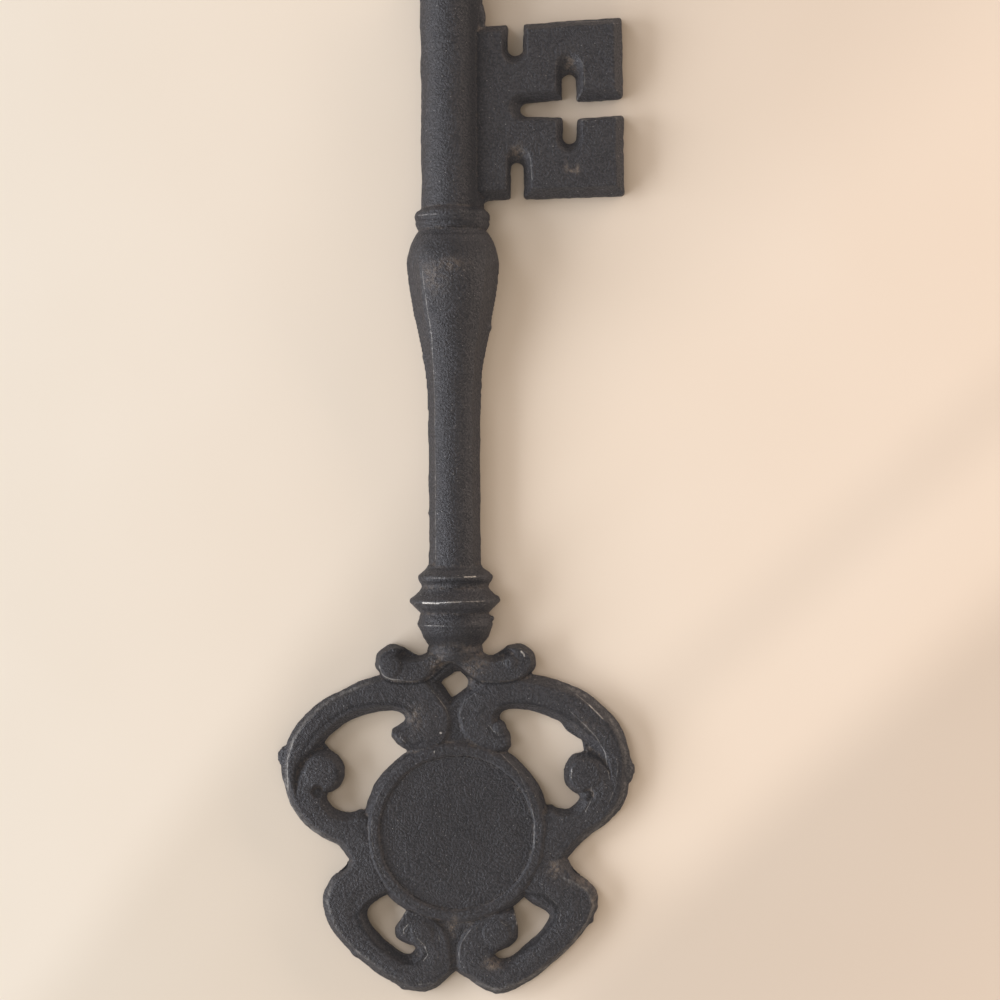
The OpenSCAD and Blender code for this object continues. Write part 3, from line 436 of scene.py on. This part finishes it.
# Marks on the key's face, placed as the camera sees them, in millimetres from the medallion's
# centre: strength, half width, then the corners of the line. These are the bright lines where the paint
# is rubbed off
# Painted highlights: many of these bright lines stand for edges that catch the light, drawn as the metal
# under the paint
RUBBED_AND_HIGHLIT = [
    # Beads, cup and the ring over the bulb: wear, and painted highlights along their ridges
    (0.9, 0.3, (3.3, 93.6), (7.5, 93.7)),
    (0.5, 0.22, (-10.3, 93.2), (2.5, 93.4)),
    (0.85, 0.45, (-11.9, 84.1), (-6.2, 83.9)),
    (0.7, 0.35, (-6.2, 84.1), (1.8, 84.4)),
    (0.55, 0.3, (1.8, 84.4), (11, 84.6)),
    (0.6, 0.22, (-11.5, 75.7), (-4.5, 75.5)),
    (0.4, 0.2, (-4.5, 75.5), (-1, 75.4)),
    (0.35, 0.3, (5.4, 76.5), (10, 77.6)),
    (0.55, 0.25, (-12.4, 227.6), (-6, 228)),
    (0.35, 0.25, (-6, 228), (4, 228.4)),
    # The arris along the shank's left side: a painted highlight where it catches the light, with wear
    (0.55, 0.25, (-11.5, 207.7), (-10.8, 201.4), (-10.1, 196.3), (-9.4, 191.2), (-8.8, 187.8),
     (-8, 181.9), (-7.9, 176)),
    (0.4, 0.25, (-7.9, 176), (-7.2, 165.4), (-7.1, 159.1), (-7.1, 129.5), (-7.2, 99.9)),
    # Volutes of the crest
    (1.0, 0.35, (24.2, 65.9), (25.2, 64.9), (25.4, 64.1)),
    (0.5, 0.3, (17.9, 64.6), (17.3, 62.1), (18, 60.5)),
    (0.6, 0.3, (-28.3, 61), (-27.7, 58.4), (-26.6, 57.1), (-24.1, 56), (-21.5, 55.7)),
    (0.4, 0.3, (-21.5, 55.7), (-15.9, 55)),
    # Heads of the upper scrolls, with their small curls
    (0.6, 0.25, (-9, 51.5), (-6.3, 48.6), (-3.7, 44.8)),
    (0.4, 0.25, (7.8, 51.1), (3.2, 47.8), (1.2, 43.9)),
    (0.35, 0.25, (1.2, 43.9), (2.2, 38.6)),
    (0.4, 0.25, (-3.7, 44.8), (-2, 40.5)),
    (0.45, 0.3, (-17.3, 46.4), (-15.5, 43.7), (-15.5, 40.6), (-16.3, 38.4)),
    (0.5, 0.28, (12.5, 38.2), (13.7, 36.5), (15.7, 35.7)),
    (0.5, 0.28, (-21, 35.9), (-20.5, 34), (-18.7, 32.4)),
    (1.2, 0.4, (-5.8, 36), (-5.7, 35.9)),
    (0.9, 0.3, (-8.2, 29.2), (-8.2, 28.6)),
    # Right arm with its leaf, its knob and the drop on its edge
    (0.75, 0.3, (49.3, 45.9), (54.3, 40.8)),
    (0.45, 0.3, (44.4, 50.1), (49.3, 45.9)),
    (0.55, 0.25, (42.4, 43.5), (47.6, 38.6), (51.7, 34.2), (55, 28.4), (56.6, 18.4)),
    (0.4, 0.25, (59.6, 24.2), (59.3, 16.7), (55.7, 8.4)),
    (0.55, 0.25, (49.8, 15.5), (49.8, 10.9), (47.4, 6)),
    (0.6, 0.3, (42.6, 22.2), (42.5, 19)),
    (0.33, 1.2, (64.2, 24.8), (64.9, 22.2), (64, 19.5)),
    # The edge between disc and rim: a painted highlight, with wear
    (0.5, 0.22, (16.4, 28.2), (22.5, 21.9), (26.6, 12.8), (28.7, 3.6), (28.4, -8)),
    # The outer bevels of the arms and the lobes: wear, and painted highlight where they catch the light
    (0.33, 1.2, (37.7, 54.3), (44.4, 51.3), (51, 47.5), (55.9, 42.5), (60.1, 35.8), (62.5, 28.3),
     (63.3, 20), (61.6, 12.5), (57.4, 5.9), (50.7, -0.7), (45.6, -4)),
    (0.35, 1.15, (-32.2, 54.7), (-41.4, 51.1), (-49.7, 46.5), (-56.4, 39.9), (-60.6, 33.3), (-62.7, 25.8),
     (-63.2, 17.5), (-61.6, 10), (-57.5, 4.2), (-50, -1.7), (-43.4, -5.9)),
    (0.33, 1.0, (-46.6, -19.2), (-48.3, -26), (-44.4, -36.2), (-36.5, -45.3), (-26.4, -52.2),
     (-18.5, -56.8), (-9.4, -56.9)),
    (0.36, 1.0, (39.5, -18.1), (47.4, -22.1), (50.6, -27.8), (47.9, -34.6), (41.6, -43.6), (33.6, -50.4),
     (24.5, -56), (14.3, -59.1), (6.4, -56.4)),
    # Left arm
    (0.5, 0.35, (-60.5, 33), (-62.6, 26), (-62.4, 15)),
    (0.3, 0.5, (-56.5, 38.5), (-52, 44)),
    # Heads of the lower scrolls, and the right lobe's edges
    (0.5, 0.25, (4.8, -36.9), (2.9, -39.4), (1, -42.7), (0.4, -45.9), (0.9, -48.7), (2.3, -50.9)),
    (0.65, 0.25, (16.3, -34.3), (18, -35.4)),
    (0.6, 0.3, (-18.4, -34.9), (-20.1, -36.8), (-19.8, -38.4)),
    (0.45, 0.35, (-7, -38.8), (-6.7, -41)),
    (0.6, 0.25, (-15, -39.9), (-12.2, -42.7), (-11.1, -46.1), (-12.8, -48.4)),
    (0.3, 0.3, (39.5, -18.7), (45.2, -21.6), (49.3, -25.5)),
    (0.45, 0.25, (32.6, -23.5), (38.2, -29.1), (37.7, -33.7)),
    # Edges of the bit
    (0.4, 0.25, (30.4, 298.3), (44.4, 298.7), (59.8, 299)),
    (0.45, 0.25, (29.5, 239.9), (28.9, 248), (27.8, 251.7)),
    (0.45, 0.25, (49.2, 275.1), (48.9, 282.3), (46.6, 287.3)),
    (0.35, 0.25, (30, 237.3), (59.4, 239)),
]
# Painted shade: dark lines along the steps where one layer of the casting meets another, and the shaded
# bottoms of the throats
SHADE_LINES = [
    # Under the crest's edge, and along its volutes
    (0.9, 0.4, (-28.2, 59.5), (-27.6, 57.1), (-25.7, 55.2), (-22, 54.3), (-15.9, 54.1), (-11.4, 54.7),
     (-8.4, 56.4), (-4.6, 59.9), (-2, 62), (1.4, 60.2), (5.3, 56.7), (8.8, 54.5), (14.1, 53.9),
     (20, 54.4), (24.9, 56), (28, 58.4)),
    (0.5, 0.5, (-0.6, 60.5), (-7.5, 54.8)),
    (0.35, 1.0, (-19.2, 63.2), (-18.4, 62.6)),
    (0.45, 0.3, (-28.1, 61.1), (-27.5, 63.6), (-25.3, 65.8), (-20.5, 66.1)),
    (0.5, 0.5, (16.3, 65.5), (18.2, 66.2)),
    (0.5, 0.35, (24.9, 65), (25.3, 61.4), (24.6, 59.1)),
    # Heads of the upper scrolls, with their small curls
    (0.4, 0.3, (-9.6, 52), (-5.4, 47.4), (-2.7, 43.3), (-2.2, 40.5)),
    (0.4, 0.3, (8.6, 52.2), (4.8, 49.4), (1.9, 46), (0.4, 42), (1.3, 37)),
    (0.55, 0.35, (-21.1, 36.8), (-19.5, 36.8), (-17.1, 38.4)),
    (0.5, 0.4, (-19, 32.4), (-15.8, 31.4), (-12.6, 33.1)),
    (0.6, 0.45, (13.8, 34.8), (15.9, 34.1), (18.3, 34.9)),
    (0.6, 0.35, (11.6, 37.8), (12.6, 35.8)),
    # Inner bevels of the arms, then the grooves of the right leaf and the left arm
    (0.55, 0.65, (-57.5, 28), (-53.8, 34.8), (-49.3, 39.3), (-44, 43.1), (-38.7, 45.8), (-31.1, 47),
     (-23.6, 46.9), (-19, 45.8), (-16, 44.2)),
    (0.55, 0.65, (16.7, 46.1), (21.3, 47), (27.3, 46.7), (33.3, 45), (39.3, 42.4), (45, 38.8),
     (49.4, 35)),
    (0.35, 0.4, (56, 38.6), (59.8, 31), (60.9, 23.5), (59.8, 17.4), (57.5, 9.9), (54.5, 5.4)),
    (0.3, 0.4, (-34.9, 52.9), (-46.3, 47.6), (-50.7, 43.9), (-56, 37.8), (-59, 31)),
    # Knobs, and the pit beside the left one
    (0.6, 0.9, (-44.4, 22.6), (-43.8, 19.6)),
    (0.3, 0.8, (-50.7, 15.6), (-50.4, 15.4)),
    (0.45, 0.4, (41.4, 24.2), (41.3, 18.2)),
    # Inner bevels and heads of the lower scrolls
    (0.6, 0.65, (-25, -22.9), (-33, -26.3), (-37.6, -31.4), (-35.9, -35.9), (-29.8, -42.7), (-20.7, -49),
     (-15.1, -49.5), (-12.2, -46.1)),
    (0.65, 0.7, (24.7, -23.5), (31.5, -24.6), (36.6, -28.6), (36, -33.7), (29.2, -41.6), (22.3, -46.1)),
    (0.45, 0.35, (-25.1, -54.5), (-20.8, -56.2), (-16.9, -56.8), (-12, -56.3), (-7.1, -53.8),
     (-4.3, -51.9)),
    (0.5, 0.35, (1.8, -35.9), (-0.8, -41.6), (-0.8, -49.5)),
    (0.8, 0.9, (12.6, -45.3), (12.8, -44.6)),
    # Grooves of the ring, the beads and the cup
    (0.5, 0.4, (-12.4, 225.9), (12.4, 225.9)),
    (0.5, 0.4, (-11, 220.7), (11.4, 220.7)),
    (0.4, 0.4, (-9.6, 96.6), (9.8, 96.6)),
    (0.5, 0.5, (-9, 92), (10, 92)),
    (0.45, 0.9, (-10, 81.3), (10.5, 81.3)),
    (0.35, 0.3, (-12, 78.4), (12, 78.4)),
    (0.4, 0.5, (-10, 74.6), (10.6, 74.6)),
    # Wide soft painted shades: on the bulb, under the cup, on the crest's neck, beside the barrel, on the
    # disc
    (0.3, 3.5, (-8, 215.5), (11, 215.5)),
    (0.65, 3, (-9, 70.5), (9, 70.5)),
    (0.4, 2.5, (0, 66), (0, 61)),
    (0.75, 3, (8, 306), (8, 231)),
    (0.25, 22, (-0.1, 0), (0.1, 0)),
]
# Rubbed edges of the medallion's rim, with painted highlights along them: strength, half width, radius,
# first and last angle in degrees
RUBBED_AND_HIGHLIT_ARCS = [
    (0.45, 0.22, 31.6, 150, 215),
    (0.3, 0.2, 28.6, -40, -14),
    (0.25, 0.25, 31.6, 215, 250),
]
# Places where dust lies: x, y, half length along x, half length along y, strength
DUSTY = [
    # Bit
    (44.6, 243.6, 2, 0.6, 0.7),
    (42, 245.6, 0.6, 1.6, 0.6),
    (46.4, 244.2, 0.6, 1.6, 0.6),
    (43.7, 283, 2, 4, 0.6),
    (24, 250.5, 2.4, 2.4, 0.6),
    (24, 288, 2.6, 1.5, 0.5),
    # Heads of the lower scrolls
    (-1.6, -35.5, 1.6, 3, 0.8),
    (12.8, -49.6, 2.8, 1.8, 1),
    (18, -46, 3, 1.6, 0.8),
    # Bulb
    (0, 209.5, 5, 2.5, 0.35),
    (-6, 204, 4, 6, 0.2),
    # Crest
    (3, 68, 9, 3, 0.25),
    (-7.5, 62, 3, 3, 0.5),
    (7, 61, 4, 3, 0.5),
    # Upper scrolls, then the crest's right edge and the bulb's left side
    (-15, 42, 3, 4, 0.4),
    (48, 38.5, 4, 3, 0.2),
    (5, 56, 2, 2, 0.5),
    (-9, 206, 3, 4, 0.2),
    # Lower right scroll
    (46.5, -19.3, 5, 2, 0.35),
    (50.8, -25.5, 1.6, 4, 0.3),
    (36.5, -14.5, 2.5, 3, 0.6),
]
# Swellings and hollows of the edges: x, y, height over the wall, radius, how far they stand out
NUBS = [
    # Swellings of the shank's sides and of the scrolls' edges
    (-9.9, 117.5, 1.5, 1.1, 1.0),
    (-11.8, 174.8, 1.5, 1.5, 0.7),
    (13.2, 185.7, 1.5, 1.2, 0.8),
    (49.5, -33.6, 1.5, 1.2, 0.9),
    (-12.9, 160, 1.2, 1.6, 0.5),
    (-38, -45, 1.2, 2, 0.6),
    (-20, -57.5, 1.2, 1.8, 0.8),
    (58.5, 35.5, 1.2, 2, 0.6),
    (-57.5, 35, 1.2, 1.8, 0.6),
    (52, -29, 1.2, 1.6, 0.6),
    # Hollows that round the notches between the upper and the lower scrolls
    (45.2, -13.2, 1.5, 3.0, -2.2),
    (-42.2, -12.8, 1.5, 2.6, -1.9),
]
# Drops of iron that the mould's leaks left on edges, and iron that half fills the pits beside the knobs:
# node, centre and half lengths along x, y and out of the wall
DROPS = [
    ("upper_right_scroll", (48.1, 13.9, 2.4), (3.1, 3.1, 2.8)),
    ("upper_left_scroll", (-51.7, 14.9, 2.2), (3.6, 3.4, 2.9)),
    ("upper_right_scroll", (62.3, 22.2, 2.2), (3.3, 5.6, 2.4)),
    ("upper_left_scroll", (-62.9, 27.9, 1.6), (2.7, 4.2, 1.6)),
    ("middle_bead", (15.2, 85.4, 1.5), (1.5, 1.6, 1.6)),
    ("lower_cup", (13.3, 78.4, 1.4), (1.2, 1.2, 1.5)),
    ("barrel", (10.6, 299.5, 2.5), (2.2, 6, 2.5)),
]


def on_face(points):
    """Where the camera sees each point against the wall, in millimetres from the medallion's centre."""
    centre = np.array([CAMERA_X, CAMERA_Y])
    spread = 1 / (1 - points[:, 2] / CAMERA_Z)
    return centre + (points[:, :2] - centre) * spread[:, None] - (0, MEDALLION_Y)


def blob(points, x, y, half_x, half_y):
    """1 at a place of the key's face, falling to 0 at about twice the half lengths."""
    flat = on_face(points)
    away = ((flat[:, 0] - x) / half_x) ** 2 + ((flat[:, 1] - y) / half_y) ** 2
    return np.exp(-away) * (points[:, 2] > MARKED_OVER)


def stroke(points, half, *corners):
    """1 along a line with corners on the key's face, falling to 0 at about twice its half width."""
    flat = on_face(points)
    away = np.full(len(points), np.inf)
    for start, end in zip(corners, corners[1:]):
        start, along = np.array(start), np.array(end) - start
        t = np.clip((flat - start) @ along / (along @ along), 0, 1)
        away = np.minimum(away, np.linalg.norm(flat - start - t[:, None] * along, axis=1))
    return np.exp(-(away / half) ** 2) * (points[:, 2] > MARKED_OVER)


def arc(radius, first, last):
    """Corners of a line along an arc about the medallion's centre."""
    turns = np.radians(np.arange(first, last + 1, ARC_STEP))
    return [(radius * math.cos(a), radius * math.sin(a)) for a in turns]


def flanked(points):
    """The shank's half-round body with a flat flank along each side, up to a sharp arris. The flanks
    begin at the widest place of the bulb."""
    x, y, z = points[:, 0], points[:, 1] - MEDALLION_Y, points[:, 2]
    turn = np.arctan2(np.maximum(z, 0), np.abs(x))
    chord = math.cos(FLANK_TURN / 2) / np.cos(turn - FLANK_TURN / 2)
    cut = np.clip((FLANK_TOP - y) / FLANK_FADE, 0, 1)
    shrink = np.where(turn < FLANK_TURN, 1 + (chord - 1) * cut, 1)
    return np.stack([x * shrink, points[:, 1], z * shrink], axis=1)


def grown(height, start, over, most):
    """0 up to a height, then growing to the most over a further height."""
    return np.clip((height - start) / over, 0, 1) * most


def swollen(node):
    """A casting's own even skin, swollen a little."""
    skin = Skin(even_skin(merged_copy(node), LARGER_SKIN.get(node, SKIN)))
    if node == "baluster":
        skin.points = flanked(skin.points)
    normals = skin.normals()
    for x, y, z, radius, out in NUBS:
        away = np.linalg.norm(skin.points - (x, y + MEDALLION_Y, z), axis=1)
        skin.points += normals * (out * np.exp(-(away / radius) ** 2))[:, None]
    skin.points += SWELL * skin.normals()
    skin.write()
    return skin


def whole_skin(skins):
    """One skin over all castings together: seams closed, edges rounded, with the sand's lumps.
    Returns it with its normals and, for each point, its wear and painted highlight, its dust and its
    painted shade."""
    joined = bmesh.new()
    for skin in skins.values():
        joined.from_mesh(skin.mesh)
    mesh = bpy.data.meshes.new("whole")
    joined.to_mesh(mesh)
    joined.free()
    whole = Skin(even_skin(mesh, SKIN))
    whole.points -= SWELL * whole.normals()
    whole.points += CRISP * (whole.points - whole.smoothed(whole.points, CRISP_STEPS))
    normals = whole.normals()
    height = sum(h * lattice_noise(whole.points, size, i + 1) for i, (size, h) in enumerate(LUMPS))
    height *= 1 + SIDE_LUMPS * (1 - normals[:, 2] ** 2)
    low, high = (np.array(corner) / MM for corner in cad_box)
    whole.points = np.clip(whole.points + normals * height[:, None], low, high)

    normals = whole.normals()
    near, wide = whole.proud(NEAR_STEPS, normals), whole.proud(WIDE_STEPS, normals)
    # 1 on what faces the room, 0.6 on upright sides, 0 on the back
    front = np.clip(normals[:, 2] * 2 + 0.6, 0, 1)
    wear_and_highlight = grown(near, *WEAR) * front
    for strength, half, *corners in RUBBED_AND_HIGHLIT:
        wear_and_highlight = np.maximum(wear_and_highlight, strength * stroke(whole.points, half, *corners))
    for strength, half, *sweep in RUBBED_AND_HIGHLIT_ARCS:
        wear_and_highlight = np.maximum(wear_and_highlight, strength * stroke(whole.points, half, *arc(*sweep)))
    dust = grown(-wide, *DUST) * front
    for *place_and_size, strength in DUSTY:
        dust += strength * blob(whole.points, *place_and_size)
    painted_shade = grown(-near, *CREASE_SHADE)
    for strength, half, *corners in SHADE_LINES:
        painted_shade = np.maximum(painted_shade, strength * stroke(whole.points, half, *corners))
    return whole, normals, np.clip(np.stack([wear_and_highlight, dust, painted_shade], axis=1), 0, 1)


def cast(node, skin, whole, tree, faces, normals, painted, paint):
    """Lays a casting's own skin on the whole skin, and shows it in place of the CAD node."""
    own = skin.normals()
    low, high = (np.array(corner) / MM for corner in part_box(node))
    lowest, highest = (np.array(corner) / MM for corner in cad_box)
    low, high = np.maximum(low - PROUD, lowest), np.minimum(high + PROUD, highest)
    hits = [tree.find_nearest(point, NEAR) for point in skin.points]
    shown = np.array([
        hit[0] is not None and hit[1].dot(turned) >= SAME_WAY for hit, turned in zip(hits, own)
    ])
    hits = [hit for hit, lies_on in zip(hits, shown) if lies_on]
    places = np.array([hit[0] for hit in hits])
    corners = faces[[hit[2] for hit in hits]]
    # The nearer a corner of the face, the more it counts. The small number keeps the share of a corner
    # at the point itself finite
    share = 1 / (np.linalg.norm(whole.points[corners] - places[:, None], axis=2) ** 2 + 1e-4)
    share = (share / share.sum(axis=1, keepdims=True))[..., None]
    points, facing = skin.points.copy(), own.copy()
    values = np.zeros((len(own), painted.shape[1]))
    points[shown] = places
    facing[shown] = (normals[corners] * share).sum(axis=1)
    values[shown] = (painted[corners] * share).sum(axis=1)
    # What the neighbours hide keeps clear of them
    points[~shown] -= 2 * SWELL * own[~shown]
    skin.points = np.clip(points, low, high)
    skin.write()
    mesh = skin.mesh
    mesh.name = node + "_cast"
    mesh.shade_smooth()
    facing /= np.linalg.norm(facing, axis=1)[:, None]
    mesh.normals_split_custom_set_from_vertices(facing.tolist())
    for name, column in (("wear_and_highlight", 0), ("dust", 1), ("painted_shade", 2)):
        mesh.attributes.new(name, "FLOAT", "POINT").data.foreach_set("value", values[:, column])
    mesh.materials.clear()
    mesh.materials.append(paint)
    piece = bpy.data.objects.new(node + "_cast", mesh)
    bpy.context.collection.objects.link(piece)
    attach(piece, "root")
    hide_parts(node)


def castings():
    """All painted castings, each on the skin of the whole."""
    paint = black_painted_iron()
    skins = {node: swollen(node) for node in CASTINGS}
    whole, normals, painted = whole_skin(skins)
    faces = whole.polygons()
    tree = BVHTree.FromPolygons(whole.points.tolist(), faces.tolist())
    for node, skin in skins.items():
        cast(node, skin, whole, tree, faces, normals, painted, paint)
    bpy.data.meshes.remove(whole.mesh)


def pins():
    """The CAD's own rivets and pins, whose flush ends show at the back only."""
    steel = turned_steel()
    for pin in PINS:
        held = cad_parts[pin]
        held.data.materials.clear()
        held.data.materials.append(steel)


# Wall, lights and camera, in metres

WALL_HALF = 3.0
# The wall lies this far behind the key's flat back
WALL_GAP = 0.0001
# Windows and lamps, all facing the key: name, place, sizes along the wall and out of it, watts, colour
LIGHTS = [
    ("window_left", (-2.55, -0.6, 0.8), (2.8, 0.9), 145, "ebf1fd"),
    ("window_high", (-2.2, 1.5, 1.4), (1.2, 1), 32, "eef2fd"),
    ("window_top", (-1.8, -0.2, 2.2), (1.4, 1.2), 11, "f4f5fd"),
    ("lamp_right", (2.8, 1.7, 0.48), (4.2, 0.8), 118, "ffece0"),
    ("room_below", (0.4, -2.9, 0.7), (3, 1), 28, "fff4ea"),
]


def wall():
    """The wall behind the key, which lies flat on it."""
    corners = [(x * WALL_HALF, y * WALL_HALF, 0) for x, y in ((-1, -1), (1, -1), (1, 1), (-1, 1))]
    mesh = bpy.data.meshes.new("wall")
    mesh.from_pydata(corners, [], [(0, 1, 2, 3)])
    mesh.materials.append(wall_paint())
    made = bpy.data.objects.new("wall", mesh)
    made.location.z = -WALL_GAP
    bpy.context.collection.objects.link(made)


def soft_light(name, place, size, watts, colour):
    """A soft rectangular light that faces the key's middle."""
    lamp = bpy.data.lights.new(name, "AREA")
    lamp.shape = "RECTANGLE"
    lamp.size, lamp.size_y = size
    lamp.energy = watts
    lamp.color = linear(colour)[:3]
    made = bpy.data.objects.new(name, lamp)
    made.location = place
    made.rotation_euler = (-made.location).to_track_quat("-Z", "Y").to_euler()
    bpy.context.collection.objects.link(made)


def room():
    """The light that the room's walls throw back, and a pale ground where the camera sees past the wall."""
    world = bpy.data.worlds.new("room")
    world.use_nodes = True
    tree = world.node_tree
    tree.nodes.clear()
    by_camera = add(tree, "ShaderNodeLightPath").outputs["Is Camera Ray"]
    soft = add(tree, "ShaderNodeBackground", Color=linear("fff2e4"), Strength=0.35).outputs[0]
    pale = add(tree, "ShaderNodeBackground", Color=linear("efe6da"), Strength=1.0).outputs[0]
    mixed = add(tree, "ShaderNodeMixShader", _0=by_camera, _1=soft, _2=pale).outputs[0]
    add(tree, "ShaderNodeOutputWorld", Surface=mixed)
    bpy.context.scene.world = world


def camera_before_key():
    """The camera, square to the wall, where the photograph was taken from."""
    lens = bpy.data.cameras.new("camera")
    lens.sensor_width = SENSOR
    lens.lens = LENS
    lens.clip_start = 0.01
    made = bpy.data.objects.new("camera", lens)
    made.location = (CAMERA_X * MM, CAMERA_Y * MM, CAMERA_Z * MM)
    made.rotation_euler = (0, 0, CAMERA_TURN)
    bpy.context.collection.objects.link(made)
    bpy.context.scene.camera = made


castings()
pins()
wall()
for light in LIGHTS:
    soft_light(*light)
room()
camera_before_key()
bpy.context.scene.view_settings.view_transform = "Standard"

bpy.context.view_layer.update()
